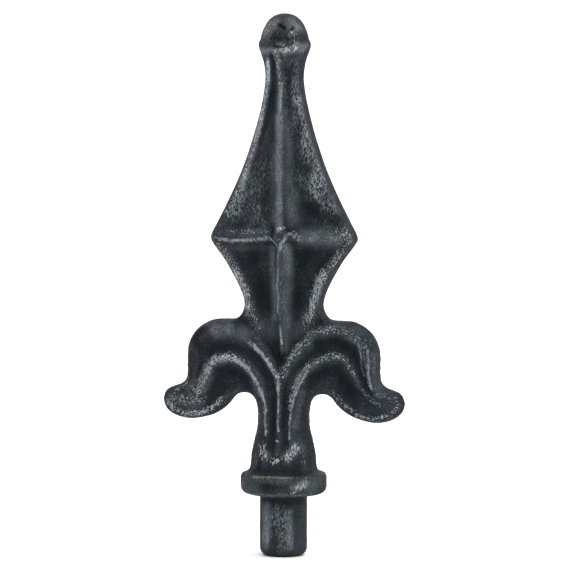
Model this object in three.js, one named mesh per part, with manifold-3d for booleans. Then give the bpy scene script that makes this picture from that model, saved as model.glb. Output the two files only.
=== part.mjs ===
// A cast fence spike: a ribbed lozenge blade with a ball tip, over two scrolled arms like a fleur-de-lis, on
// a short stem, a round collar and a plain round spigot. One solid iron casting, alike front and back.
// Millimetres, +Z up. The origin is the middle of the spigot's flat end, and the front faces -Y.
import * as THREE from "three";
import { mergeVertices } from "three/addons/utils/BufferGeometryUtils.js";
import Module from "manifold-3d";

const wasm = await Module();
wasm.setup();

// Spigot and collar
const SPIGOT_RADIUS = 7.9;
const SPIGOT_CHAMFER = 0.9;
const SPIGOT_LENGTH = 20.8;
const COLLAR_RADIUS = 14.45;
const COLLAR_TOP = 28.1;
const COLLAR_ROUND = 1.5;
const ROOT_FILLET = 1.2;
const FOOT_RADIUS = 11;

// Heights: the blade's root behind the arms, where it flares into them, its waist, its two ribs' crossing,
// the neck, the blade's end inside the neck, the ring under the ball and the ball's top
const ROOT_BOTTOM = 57;
const FLARE = 79.6;
const WAIST = 84;
const CROSS = 106.4;
const NECK = 160;
const BLADE_TOP = 165;
const RING = 171;
const TOP = 181.3;

// The knob over the crossing of the blade's two ribs, and the rib across, which falls from the middle to
// the rims
const BOSS_HEIGHT = 107.3;
const BOSS_RADIUS = 3;
const BOSS_REACH = 8.4;
const BOSS_CROWN_SHARE = 0.62;
const BOSS_CROWN_DROP = 0.35;
const BOSS_EDGE_DROP = 1.7;
const CROSS_RIB_HALF = 3.1;
const CROSS_RIB_REACH = 6.9;
const CROSS_RIB_END = 5.4;

// How finely each form is cut up
const ROUND_STEPS = 32;
const BLADE_STEP = 2.8;
const ARM_STEPS = 3;
const BOSS_STEPS = 16;

// Blade, as pairs of height and size. Reach is how far a face stands in front of the middle plane.
const BLADE_WIDTH = [
  [57, 3.5], [64, 6.5], [70, 11], [75, 15.5], [78, 18], [FLARE, 15.9], [81, 14.3], [WAIST, 13.4],
  [88, 14.5], [96, 18.6], [102, 22.3], [105.4, 24.9], [107.4, 24.9], [112, 22.5], [121, 18.2], [130, 14.2],
  [139, 11.1], [148, 8.5], [157, 6.6], [160, 6.35], [BLADE_TOP, 6.2],
];
const RIB_REACH = [[57, 3.6], [66, 4.4], [78, 6.2], [CROSS, 7.6], [135, 7.3], [156, 6.7], [BLADE_TOP, 6]];
const FLOOR_REACH = [[57, 3.2], [80, 3.3], [100, 3.6], [125, 3.8], [145, 4.6], [156, 5.1], [BLADE_TOP, 5]];
const RIM_REACH = [[57, 3.2], [76, 3.7], [88, 4.8], [CROSS, 5.2], [130, 4.8], [150, 4.6], [BLADE_TOP, 4.2]];
const EDGE_REACH = [[57, 1.8], [80, 2.2], [CROSS, 2.2], [150, 2.2], [BLADE_TOP, 1.6]];
const RIB_HALF = [[57, 0.6], [70, 1.2], [82, 3], [100, 3.5], [120, 3.6], [145, 2.6], [BLADE_TOP, 2.2]];
const RIM_INSET = [[57, 0.8], [84, 2], [CROSS, 3.4], [125, 2.2], [145, 1.5], [BLADE_TOP, 1.5]];
const RIM_FOOT = [[57, 1.6], [84, 4.6], [95, 6.6], [CROSS, 7.4], [125, 5], [145, 3], [BLADE_TOP, 2.8]];

// The bevel from the rim's crest to the blade's edge: where it is met, how far it has fallen there, and the
// share of the edge's reach that is left at the very edge
const BEVEL_PLACE = 0.65;
const BEVEL_FALL = 0.38;
const EDGE_SHARE = 0.8;

// One arm with its half of the stem, cut across at stations from the stem's foot to the scroll's tip.
// Across, x and z of: the upper edge, the upper rim's crest, the lower ridge's crest and the lower edge.
// Then the reach of: the rim's crest, the channel, the ridge's crest, the web, the lip, and the two edges.
const ARM = [
  [-1, 27.2, 0, 27.2, 5.6, 27.2, 12.3, 27.2, 12.1, 11.8, 10.9, 9.2, 5, 11.9, 1.5],
  [-1, 30.5, 0, 30.5, 5.1, 30.5, 11, 30.5, 10.8, 10.4, 9.6, 8.1, 4.4, 10.6, 1.6],
  [-1, 34.5, 0, 34.5, 4.6, 34.5, 10.4, 34.5, 9.6, 8.9, 8.7, 7.2, 4, 9.3, 1.7],
  [-1, 39, 0, 39, 4.3, 39, 9.5, 39, 8.5, 7.5, 7.9, 6.5, 3.9, 8.1, 1.8],
  [-1, 46, 0, 46, 4.2, 46, 8.5, 46, 7.7, 6.2, 7.2, 5.9, 3.8, 7.2, 1.9],
  [-1, 52.5, 0, 52.5, 4.6, 52, 9.6, 52, 7.4, 5.6, 6.9, 5.2, 3.5, 7, 1.9],
  [-1, 58.5, 0.4, 58.6, 6.4, 58, 11.4, 54, 7, 5, 6.4, 3.9, 3.2, 4.4, 1.8],
  [1.5, 66.5, 3.4, 64.6, 9.2, 62.6, 13.6, 54.4, 6.5, 4.4, 6, 2.9, 3.1, 3, 1.6],
  [6.5, 74, 8, 70.4, 12.6, 65.6, 16, 53.5, 6, 4, 5.6, 2.5, 3.1, 2.8, 1.5],
  [14, 79.5, 14.6, 74.8, 16.4, 66.9, 17.8, 51.5, 5.6, 3.4, 5.4, 2.3, 3.1, 2.4, 1.5],
  [21.6, 79.1, 20.7, 75.9, 19.6, 66.8, 19.8, 49.4, 5.4, 3.2, 5.3, 2.2, 3.1, 2.2, 1.5],
  [27.9, 76.9, 25.8, 74.4, 22.3, 65, 22.7, 47.3, 5.3, 3.1, 5.2, 2.2, 3.1, 2.2, 1.5],
  [31.8, 72.1, 28.2, 70.5, 24, 62.2, 26.1, 46.1, 5.2, 3, 5.1, 2.3, 3.2, 2.2, 1.6],
  [32.8, 65.5, 29.4, 64.4, 25.2, 59.8, 29.2, 45.4, 5.1, 3, 5, 2.4, 3.3, 2.2, 1.7],
  [32.6, 60, 29.8, 59.6, 27, 56.6, 32.1, 45.2, 4.9, 3.1, 4.8, 2.6, 3.4, 2.2, 1.7],
  [34, 57.4, 31.5, 56.1, 29.7, 53.8, 35, 45.6, 4.6, 3.2, 4.5, 2.9, 3.5, 2.2, 1.8],
  [37.4, 56.2, 34.6, 54.1, 33.4, 52, 38.1, 46.8, 4.4, 3.4, 4.2, 3.1, 3.5, 2.1, 1.8],
  [40.2, 54.7, 38.1, 52.7, 37.3, 51.2, 40.1, 48.6, 3.6, 3.2, 3.5, 2.9, 2.9, 1.8, 1.6],
  [41.25, 52.7, 41, 52, 41, 51.4, 41.2, 50.9, 1.5, 1.4, 1.5, 1.2, 1, 0.6, 0.6],
];
const CHANNEL_PLACE = 0.52; // the channel's share of the way from the rim's crest to the ridge's
const WEB_PLACE = 0.38; // the web's share of the way from the ridge's crest to the lower edge
const LIP_PLACE = 0.84; // and the lip's
const ROUND_PLACE = 0.3; // where the rounding of the upper rim is met, from the edge to the crest
const ROUND_SHARE = 0.76; // and how much of the crest's rise it has there

const IRON = { color: 0x25282b, roughness: 0.5, metalness: 0.85 };

function mix(from, to, share) {
  return from + (to - from) * share;
}

// A smooth curve through pairs of place and size that never overshoots them.
function sizeAt(pairs, place) {
  const last = pairs.length - 1;
  if (place <= pairs[0][0]) return pairs[0][1];
  if (place >= pairs[last][0]) return pairs[last][1];
  const slope = (i) => (pairs[i + 1][1] - pairs[i][1]) / (pairs[i + 1][0] - pairs[i][0]);
  const tangent = (i) => {
    if (i === 0) return slope(0);
    if (i === last) return slope(last - 1);
    const before = slope(i - 1);
    const after = slope(i);
    return before * after <= 0 ? 0 : (2 * before * after) / (before + after);
  };
  let i = 0;
  while (pairs[i + 1][0] < place) i += 1;
  const span = pairs[i + 1][0] - pairs[i][0];
  const t = (place - pairs[i][0]) / span;
  const from = (1 + 2 * t) * (1 - t) ** 2 * pairs[i][1] + t * (1 - t) ** 2 * span * tangent(i);
  const to = t * t * (3 - 2 * t) * pairs[i + 1][1] + t * t * (t - 1) * span * tangent(i + 1);
  return from + to;
}

// The four numbers around a station blended into a smooth curve through the middle two.
function throughStations(before, from, to, after, t) {
  const curve = 2 * before - 5 * from + 4 * to - after;
  const twist = 3 * from - before - 3 * to + after;
  return from + 0.5 * t * (to - before + t * (curve + t * twist));
}

function toSolid(geometry) {
  const bare = geometry.index ? geometry.toNonIndexed() : geometry;
  bare.deleteAttribute("normal");
  bare.deleteAttribute("uv");
  const merged = mergeVertices(bare, 1e-4);
  const mesh = new wasm.Mesh({
    numProp: 3,
    vertProperties: merged.attributes.position.array,
    triVerts: new Uint32Array(merged.index.array),
  });
  return new wasm.Manifold(mesh);
}

// A closed body through rings of the same number of points, with a fan over each end.
function loft(rings) {
  const count = rings[0].length;
  const points = rings.flat();
  const middle = (ring) => ring.reduce((sum, p) => sum.add(p), new THREE.Vector3()).divideScalar(count);
  const startMiddle = points.push(middle(rings[0])) - 1;
  const endMiddle = points.push(middle(rings[rings.length - 1])) - 1;
  const faces = [];
  for (let i = 0; i < count; i += 1) {
    const next = (i + 1) % count;
    faces.push(startMiddle, next, i);
    const top = (rings.length - 1) * count;
    faces.push(endMiddle, top + i, top + next);
    for (let row = 0; row < rings.length - 1; row += 1) {
      const low = row * count;
      const high = low + count;
      faces.push(low + i, low + next, high + next, low + i, high + next, high + i);
    }
  }
  const geometry = new THREE.BufferGeometry();
  const numbers = new Float32Array(points.flatMap((p) => [p.x, p.y, p.z]));
  geometry.setAttribute("position", new THREE.BufferAttribute(numbers, 3));
  geometry.setIndex(faces);
  return toSolid(geometry);
}

// A ring from a front face given as x, reach, z, with the back face its mirror image.
function twoFaced(front) {
  const face = front.map(([x, reach, z]) => new THREE.Vector3(x, -reach, z));
  const back = front.map(([x, reach, z]) => new THREE.Vector3(x, reach, z)).reverse();
  return face.concat(back);
}

function turned(profile) {
  const outline = profile.map(([radius, height]) => new THREE.Vector2(radius, height));
  const geometry = new THREE.LatheGeometry(outline, ROUND_STEPS);
  geometry.rotateX(Math.PI / 2);
  return toSolid(geometry);
}

// Spigot and collar.
function makeFoot() {
  const chamferRadius = SPIGOT_RADIUS - SPIGOT_CHAMFER;
  return turned([
    [0, 0],
    [chamferRadius, 0],
    [SPIGOT_RADIUS, SPIGOT_CHAMFER],
    [SPIGOT_RADIUS, SPIGOT_LENGTH - ROOT_FILLET],
    [SPIGOT_RADIUS + 0.35 * ROOT_FILLET, SPIGOT_LENGTH - 0.35 * ROOT_FILLET],
    [SPIGOT_RADIUS + ROOT_FILLET, SPIGOT_LENGTH],
    [COLLAR_RADIUS - COLLAR_ROUND, SPIGOT_LENGTH],
    [COLLAR_RADIUS - 0.3 * COLLAR_ROUND, SPIGOT_LENGTH + 0.35 * COLLAR_ROUND],
    [COLLAR_RADIUS, SPIGOT_LENGTH + COLLAR_ROUND],
    [COLLAR_RADIUS, COLLAR_TOP - COLLAR_ROUND],
    [COLLAR_RADIUS - 0.3 * COLLAR_ROUND, COLLAR_TOP - 0.35 * COLLAR_ROUND],
    [COLLAR_RADIUS - COLLAR_ROUND, COLLAR_TOP],
    [FOOT_RADIUS, COLLAR_TOP + 0.3],
    [0, COLLAR_TOP + 0.3],
  ]);
}

// The ring and the ball, with the round core of the neck that runs down into the blade.
function makeTip() {
  return turned([
    [0, NECK - 3],
    [5.3, NECK - 3],
    [5.9, NECK],
    [6.45, NECK + 2.5],
    [7.05, NECK + 5.2],
    [7.8, RING - 3.4],
    [8.5, RING - 1.6],
    [8.75, RING - 0.4],
    [8.65, RING + 0.7],
    [8.05, RING + 1.6],
    [7.85, RING + 3],
    [7.2, RING + 4.8],
    [6.4, RING + 6.5],
    [5.2, RING + 8.2],
    [3.7, RING + 9.4],
    [1.9, RING + 10.1],
    [0, TOP],
  ]);
}

// How much of the cross rib stands at this height, from 0 off it to 1 on its crest.
function crossRibShare(z) {
  const off = Math.abs(z - CROSS) / CROSS_RIB_HALF;
  return off >= 1 ? 0 : 1 - off;
}

// The blade's ring at one height: rib, dished panels and raised rims on both faces.
function bladeRing(z) {
  const width = sizeAt(BLADE_WIDTH, z);
  const share = crossRibShare(z);
  const lift = (reach, x) => {
    const crest = CROSS_RIB_REACH + ((CROSS_RIB_END - CROSS_RIB_REACH) * x) / width;
    return Math.max(reach, reach + (crest - reach) * share);
  };
  const floor = sizeAt(FLOOR_REACH, z);
  const ribHalf = Math.min(sizeAt(RIB_HALF, z), 0.45 * width);
  const rimFoot = Math.max(width - sizeAt(RIM_FOOT, z), ribHalf + 0.15 * width);
  const rimCrest = Math.max(width - sizeAt(RIM_INSET, z), rimFoot + 0.1 * width);
  const rim = lift(sizeAt(RIM_REACH, z), rimCrest);
  const edge = sizeAt(EDGE_REACH, z);
  const half = [
    [0.25 * ribHalf, sizeAt(RIB_REACH, z), z],
    [ribHalf, lift(floor, ribHalf), z],
    [rimFoot, lift(floor, rimFoot), z],
    [rimCrest, rim, z],
    [mix(rimCrest, width, BEVEL_PLACE), mix(rim, edge, BEVEL_FALL), z],
    [width, edge * EDGE_SHARE, z],
  ];
  const mirrored = half.map(([x, reach]) => [-x, reach, z]).reverse();
  return twoFaced(mirrored.concat(half));
}

function makeBlade() {
  const heights = [];
  for (let z = ROOT_BOTTOM; z < BLADE_TOP - 0.5 * BLADE_STEP; z += BLADE_STEP) {
    if (Math.abs(z - CROSS) > CROSS_RIB_HALF + 0.4 * BLADE_STEP) heights.push(z);
  }
  for (const share of [-1, -0.5, 0, 0.5, 1]) heights.push(CROSS + share * CROSS_RIB_HALF);
  heights.push(FLARE, BLADE_TOP);
  heights.sort((a, b) => a - b);
  return loft(heights.map(bladeRing));
}

// The arm's ring at one station, from the upper edge across both crests to the lower edge.
function armRing([ux, uz, kx, kz, rx, rz, dx, dz, rim, channel, ridge, web, lip, upperEdge, lowerEdge]) {
  const between = (fromX, fromZ, toX, toZ, share) => [mix(fromX, toX, share), mix(fromZ, toZ, share)];
  const [roundX, roundZ] = between(ux, uz, kx, kz, ROUND_PLACE);
  const [channelX, channelZ] = between(kx, kz, rx, rz, CHANNEL_PLACE);
  const [webX, webZ] = between(rx, rz, dx, dz, WEB_PLACE);
  const [lipX, lipZ] = between(rx, rz, dx, dz, LIP_PLACE);
  return twoFaced([
    [ux, upperEdge, uz],
    [roundX, mix(upperEdge, rim, ROUND_SHARE), roundZ],
    [kx, rim, kz],
    [channelX, channel, channelZ],
    [rx, ridge, rz],
    [webX, web, webZ],
    [lipX, lip, lipZ],
    [dx, lowerEdge, dz],
  ]);
}

function makeArm() {
  const last = ARM.length - 1;
  const rings = [];
  for (let i = 0; i < last; i += 1) {
    const around = [ARM[Math.max(i - 1, 0)], ARM[i], ARM[i + 1], ARM[Math.min(i + 2, last)]];
    for (let step = 0; step < ARM_STEPS; step += 1) {
      const t = step / ARM_STEPS;
      rings.push(armRing(ARM[i].map((_, k) => throughStations(...around.map((row) => row[k]), t))));
    }
  }
  rings.push(armRing(ARM[last]));
  return loft(rings);
}

// The small knob where the ribs cross, standing proud on both faces.
function makeBoss() {
  const dome = [
    [0, 0],
    [BOSS_CROWN_SHARE * BOSS_RADIUS, BOSS_CROWN_DROP],
    [BOSS_RADIUS, BOSS_EDGE_DROP],
  ];
  const front = dome.map(([radius, drop]) => new THREE.Vector2(radius, drop - BOSS_REACH));
  const back = dome.map(([radius, drop]) => new THREE.Vector2(radius, BOSS_REACH - drop)).reverse();
  const geometry = new THREE.LatheGeometry(front.concat(back), BOSS_STEPS);
  geometry.translate(0, 0, BOSS_HEIGHT);
  return toSolid(geometry);
}

function makeSpike() {
  const arm = makeArm();
  const parts = [makeFoot(), arm, arm.mirror([1, 0, 0]), makeBlade(), makeBoss(), makeTip()];
  const body = parts.reduce((whole, piece) => whole.add(piece));
  const { numProp, vertProperties, triVerts } = body.getMesh();
  const positions = new Float32Array(triVerts.length * 3);
  triVerts.forEach((vertex, i) => {
    positions.set(vertProperties.subarray(vertex * numProp, vertex * numProp + 3), i * 3);
  });
  const geometry = new THREE.BufferGeometry();
  geometry.setAttribute("position", new THREE.BufferAttribute(positions, 3));
  geometry.computeVertexNormals();
  const mesh = new THREE.Mesh(geometry, new THREE.MeshStandardMaterial(IRON));
  mesh.name = "spike";
  return mesh;
}

const object = new THREE.Group();
object.add(makeSpike());

export default object;
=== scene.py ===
import math

import bpy
import numpy as np
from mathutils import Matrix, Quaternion, Vector
from mathutils.bvhtree import BVHTree


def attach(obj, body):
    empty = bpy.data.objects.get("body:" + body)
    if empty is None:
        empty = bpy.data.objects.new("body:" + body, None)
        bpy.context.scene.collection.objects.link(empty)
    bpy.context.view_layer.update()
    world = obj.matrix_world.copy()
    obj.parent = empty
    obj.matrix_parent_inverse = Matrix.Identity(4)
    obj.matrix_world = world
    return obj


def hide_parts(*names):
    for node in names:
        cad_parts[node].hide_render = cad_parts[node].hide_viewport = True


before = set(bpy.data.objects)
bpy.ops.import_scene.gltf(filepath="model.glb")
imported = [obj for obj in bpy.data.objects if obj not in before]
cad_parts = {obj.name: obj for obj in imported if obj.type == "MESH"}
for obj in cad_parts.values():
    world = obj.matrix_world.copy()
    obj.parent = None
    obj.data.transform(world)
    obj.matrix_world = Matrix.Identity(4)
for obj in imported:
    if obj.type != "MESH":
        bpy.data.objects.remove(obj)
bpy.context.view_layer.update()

SEED = 11
MM = 0.001

# Camera, in degrees and millimetres
VIEW_AZIMUTH = 12.0
VIEW_ELEVATION = 4.8
VIEW_DISTANCE = 1800.0
VIEW_ROLL = 0.15
FRAME_HEIGHT = 189.1
AIM_HEIGHT = 91.17
AIM_ACROSS = -0.22

# Brightness of the studio above and low down in front, and the key light's place and size in metres and its
# power in watts
STUDIO_LIGHT = 1.95
LOW_LIGHT = 0.12
KEY_PLACE = (0.5, -1.4, 1.3)
KEY_SIZE = 1.1
KEY_POWER = 8.5

CELL = 0.49
MAP_STEP = 0.2

# The block that the fine mesh is made in, and the solid's box drawn in a little, which the mesh stays inside
BLOCK_LOW = (-41.5, -14.6, 0)
BLOCK_HIGH = (41.5, 14.6, 181.5)
INNER_LOW = (-41.22, -14.42, 0)
INNER_HIGH = (41.22, 14.42, 181.28)

# Spigot and collar
SPIGOT_RADIUS = 7.9
SPIGOT_LENGTH = 20.8
COLLAR_RADIUS = 14.45
COLLAR_TOP = 28.1
COLLAR_ROUND = 1.5
ROOT_FILLET = 1.2

# Heights of the blade's crossing ribs, the neck, the ring under the ball and the ball's top
CROSS = 106.4
NECK = 160.0
RING = 171.0
TOP = 181.3

# Half of the spike's outline, up the stem, round the arm and up the blade: distance from the axis, height
OUTLINE = [
    (12.3, 27.2), (11.2, 30.5), (10.8, 34.5), (9.85, 39.0), (9.0, 42.3), (8.55, 46.0), (8.9, 50.0),
    (9.8, 52.6), (11.4, 54.0), (13.2, 54.4), (15.1, 54.0), (16.7, 52.8), (18.2, 50.9), (20.2, 49.0),
    (23.2, 47.1), (26.8, 45.9), (30.9, 45.2), (34.9, 45.6), (38.3, 47.0), (40.4, 49.1), (41.2, 51.4),
    (40.9, 53.4), (39.6, 55.1), (37.3, 56.2), (35.0, 57.0), (33.4, 58.4), (32.75, 60.5), (32.8, 65.0),
    (32.6, 69.3), (31.5, 72.6), (29.7, 75.3), (27.1, 77.4), (23.7, 78.8), (20.2, 79.1), (17.4, 79.1),
    (15.5, 79.8), (14.2, 81.3), (13.45, 83.6), (13.6, 85.9), (14.8, 89.3), (16.8, 93.2), (20.1, 98.8),
    (22.9, 102.6), (24.5, 104.9), (25.0, 106.4), (24.5, 108.2), (22.5, 112.0), (19.5, 117.9), (16.7, 123.8),
    (14.1, 129.9), (11.9, 136.0), (10.0, 142.0), (8.4, 148.0), (7.1, 154.0), (6.4, 160.0), (5.9, 166.0),
]

# The arm's lines: x and z of the upper edge, the upper rim's crest, the lower ridge's crest and the lower
# edge, then the reach of the rim's crest, the channel, the ridge's crest, the web, the lip, and the two edges
ARM = [
    (-1, 27.2, 0, 27.2, 5.6, 27.2, 12.3, 27.2, 12.1, 11.8, 10.9, 9.2, 5.0, 11.9, 1.5),
    (-1, 30.5, 0, 30.5, 5.1, 30.5, 11.0, 30.5, 10.8, 10.4, 9.6, 8.1, 4.4, 10.6, 1.6),
    (-1, 34.5, 0, 34.5, 4.6, 34.5, 10.4, 34.5, 9.6, 8.9, 8.7, 7.2, 4.0, 9.3, 1.7),
    (-1, 39.0, 0, 39.0, 4.3, 39.0, 9.5, 39.0, 8.5, 7.5, 7.9, 6.5, 3.9, 8.1, 1.8),
    (-1, 46.0, 0, 46.0, 4.2, 46.0, 8.5, 46.0, 7.7, 6.2, 7.2, 5.9, 3.8, 7.2, 1.9),
    (-1, 52.5, 0, 52.5, 4.6, 52.0, 9.6, 52.0, 7.4, 5.6, 6.9, 5.2, 3.5, 7.0, 1.9),
    (-1, 58.5, 0.4, 58.6, 6.4, 58.0, 11.4, 54.0, 7.0, 5.0, 6.4, 3.9, 3.2, 4.4, 1.8),
    (1.5, 66.5, 3.4, 64.6, 9.2, 62.6, 13.6, 54.4, 6.5, 4.4, 6.0, 2.9, 3.1, 3.0, 1.6),
    (6.5, 74.0, 8.0, 70.4, 12.6, 65.6, 16.0, 53.5, 6.0, 4.0, 5.6, 2.5, 3.1, 2.8, 1.5),
    (14.0, 79.5, 14.6, 74.8, 16.4, 66.9, 17.8, 51.5, 5.6, 3.4, 5.4, 2.3, 3.1, 2.4, 1.5),
    (21.6, 79.1, 20.7, 75.9, 19.6, 66.8, 19.8, 49.4, 5.4, 3.2, 5.3, 2.2, 3.1, 2.2, 1.5),
    (27.9, 76.9, 25.8, 74.4, 22.3, 65.0, 22.7, 47.3, 5.3, 3.1, 5.2, 2.2, 3.1, 2.2, 1.5),
    (31.8, 72.1, 28.2, 70.5, 24.0, 62.2, 26.1, 46.1, 5.2, 3.0, 5.1, 2.3, 3.2, 2.2, 1.6),
    (32.8, 65.5, 29.4, 64.4, 25.2, 59.8, 29.2, 45.4, 5.1, 3.0, 5.0, 2.4, 3.3, 2.2, 1.7),
    (32.6, 60.0, 29.8, 59.6, 27.0, 56.6, 32.1, 45.2, 4.9, 3.1, 4.8, 2.6, 3.4, 2.2, 1.7),
    (34.0, 57.4, 31.5, 56.1, 29.7, 53.8, 35.0, 45.6, 4.6, 3.2, 4.5, 2.9, 3.5, 2.2, 1.8),
    (37.4, 56.2, 34.6, 54.1, 33.4, 52.0, 38.1, 46.8, 4.4, 3.4, 4.2, 3.1, 3.5, 2.1, 1.8),
    (40.2, 54.7, 38.1, 52.7, 37.3, 51.2, 40.1, 48.6, 3.6, 3.2, 3.5, 2.9, 2.9, 1.8, 1.6),
    (41.25, 52.7, 41.0, 52.0, 41.0, 51.4, 41.2, 50.9, 1.5, 1.4, 1.5, 1.2, 1.0, 0.6, 0.6),
]
CHANNEL_PLACE = 0.52
WEB_PLACE = 0.38
LIP_PLACE = 0.84

# The blade's faces, as pairs of height and size in millimetres
RIB_REACH = [(57, 3.6), (66, 4.4), (78, 6.2), (CROSS, 7.6), (135, 7.3), (156, 6.7), (165, 6.0)]
FLOOR_REACH = [(57, 3.2), (80, 3.3), (100, 3.6), (125, 3.8), (145, 4.6), (156, 5.1), (165, 5.0)]
RIM_REACH = [(57, 3.2), (76, 3.7), (88, 4.8), (CROSS, 5.2), (130, 4.8), (150, 4.6), (165, 4.2)]
EDGE_REACH = [(57, 1.8), (80, 2.2), (CROSS, 2.2), (150, 2.2), (165, 1.6)]
RIB_HALF = [(57, 0.6), (70, 1.2), (82, 3.0), (100, 3.5), (120, 3.6), (145, 2.6), (165, 2.2)]
RIM_INSET = [(57, 0.8), (84, 2.0), (CROSS, 3.4), (125, 2.2), (145, 1.5), (165, 1.5)]
RIM_FOOT = [(57, 1.6), (84, 4.6), (95, 6.6), (CROSS, 7.4), (125, 5.0), (145, 3.0), (165, 2.8)]
CROSS_RIB_HALF = 3.1
CROSS_RIB_REACH = 6.9
CROSS_RIB_END = 5.4
BOSS_HEIGHT = 107.3
BOSS_RADIUS = 3.0
BOSS_REACH = 8.4

# Roundings of the casting
EDGE_ROUND = 1.5
RELIEF_BLUR = 0.34
JOIN_ROUND = 1.1


# Curves

def size_at(pairs, places):
    """A smooth curve through pairs of place and size that never overshoots them."""
    xs = np.array([p[0] for p in pairs], float)
    ys = np.array([p[1] for p in pairs], float)
    slopes = np.diff(ys) / np.diff(xs)
    tangents = np.empty_like(ys)
    tangents[0] = slopes[0]
    tangents[-1] = slopes[-1]
    product = slopes[:-1] * slopes[1:]
    total = slopes[:-1] + slopes[1:]
    tangents[1:-1] = np.where(product > 0, 2 * product / np.where(total == 0, 1, total), 0)
    places = np.clip(np.asarray(places, float), xs[0], xs[-1])
    i = np.clip(np.searchsorted(xs, places, side="right") - 1, 0, len(xs) - 2)
    span = xs[i + 1] - xs[i]
    t = (places - xs[i]) / span
    start = (1 + 2 * t) * (1 - t) ** 2 * ys[i] + t * (1 - t) ** 2 * span * tangents[i]
    end = t * t * (3 - 2 * t) * ys[i + 1] + t * t * (t - 1) * span * tangents[i + 1]
    return start + end


def through(rows, steps):
    """Rows of numbers joined by a smooth curve, with this many steps from each row to the next."""
    rows = np.array(rows, float)
    padded = np.vstack([rows[:1], rows, rows[-1:]])
    t = (np.arange(steps) / steps)[:, None]
    pieces = []
    for i in range(len(rows) - 1):
        before, a, b, after = padded[i:i + 4]
        curve = 2 * before - 5 * a + 4 * b - after
        twist = 3 * a - before - 3 * b + after
        pieces.append(a + 0.5 * t * (b - before + t * (curve + t * twist)))
    return np.vstack(pieces + [rows[-1:]])


def distance_to_line(px, pz, line):
    """The distance from each point to an open line of straight pieces."""
    nearest = np.full(px.shape, 1e9)
    for (ax, az), (bx, bz) in zip(line[:-1], line[1:]):
        ex, ez = bx - ax, bz - az
        length = max(ex * ex + ez * ez, 1e-12)
        t = np.clip(((px - ax) * ex + (pz - az) * ez) / length, 0, 1)
        nearest = np.minimum(nearest, (px - ax - t * ex) ** 2 + (pz - az - t * ez) ** 2)
    return np.sqrt(nearest)


def place_along_line(px, pz, line):
    """How far along an open line the point of it nearest to each given point lies."""
    nearest = np.full(px.shape, 1e9)
    place = np.zeros(px.shape)
    passed = 0.0
    for (ax, az), (bx, bz) in zip(line[:-1], line[1:]):
        ex, ez = bx - ax, bz - az
        length = math.hypot(ex, ez)
        t = np.clip(((px - ax) * ex + (pz - az) * ez) / length ** 2, 0, 1)
        away = (px - ax - t * ex) ** 2 + (pz - az - t * ez) ** 2
        place = np.where(away < nearest, passed + t * length, place)
        nearest = np.minimum(nearest, away)
        passed += length
    return place


def inside_polygon(px, pz, polygon):
    inside = np.zeros(px.shape, bool)
    for (ax, az), (bx, bz) in zip(polygon, np.roll(polygon, -1, axis=0)):
        if az == bz:
            continue
        crossed = (az > pz) != (bz > pz)
        inside ^= crossed & (px < (bx - ax) * (pz - az) / (bz - az) + ax)
    return inside


def soft_max(a, b, width):
    """The larger of two distances, with a fillet of this width where they meet."""
    gap = np.clip(0.5 + 0.5 * (a - b) / width, 0, 1)
    return b + (a - b) * gap + width * gap * (1 - gap)


def rounded_min(a, b, radius):
    """The smaller of two distances, with an edge of this radius where they meet."""
    over_a = np.maximum(radius - a, 0)
    over_b = np.maximum(radius - b, 0)
    return np.where((a < radius) & (b < radius), radius - np.hypot(over_a, over_b), np.minimum(a, b))


# The relief map: how far the faces stand from the middle plane, over half of the spike

def arm_sheet():
    """The arm's face as rows of points x, z, reach, from the upper edge to the lower edge."""
    rows = through(ARM, 14)
    ux, uz, kx, kz, rx, rz, dx, dz, rim, channel, ridge, web, lip, upper, lower = rows.T

    def mix(a, b, share):
        return a + (b - a) * share

    gx, gz = mix(kx, rx, CHANNEL_PLACE), mix(kz, rz, CHANNEL_PLACE)
    wx, wz = mix(rx, dx, WEB_PLACE), mix(rz, dz, WEB_PLACE)
    lx, lz = mix(rx, dx, LIP_PLACE), mix(rz, dz, LIP_PLACE)

    def smooth(q):
        return q * q * (3 - 2 * q)

    columns = []

    def stretch(x0, z0, h0, x1, z1, h1, count, shape):
        for q in np.linspace(0, 1, count, endpoint=False):
            columns.append((mix(x0, x1, q), mix(z0, z1, q), mix(h0, h1, shape(q))))

    stretch(ux, uz, upper, kx, kz, rim, 12, lambda q: math.sqrt(1 - (1 - q) ** 2))
    stretch(kx, kz, rim, gx, gz, channel, 10, smooth)
    stretch(gx, gz, channel, rx, rz, ridge, 10, lambda q: q ** 1.6)
    stretch(rx, rz, ridge, wx, wz, web, 10, lambda q: 1 - (1 - q) ** 1.8)
    stretch(wx, wz, web, lx, lz, lip, 10, lambda q: q ** 2)
    stretch(lx, lz, lip, dx, dz, lower, 6, lambda q: 1 - math.sqrt(1 - q * q))
    columns.append((dx, dz, lower))
    return np.array(columns).transpose(2, 0, 1)


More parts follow.
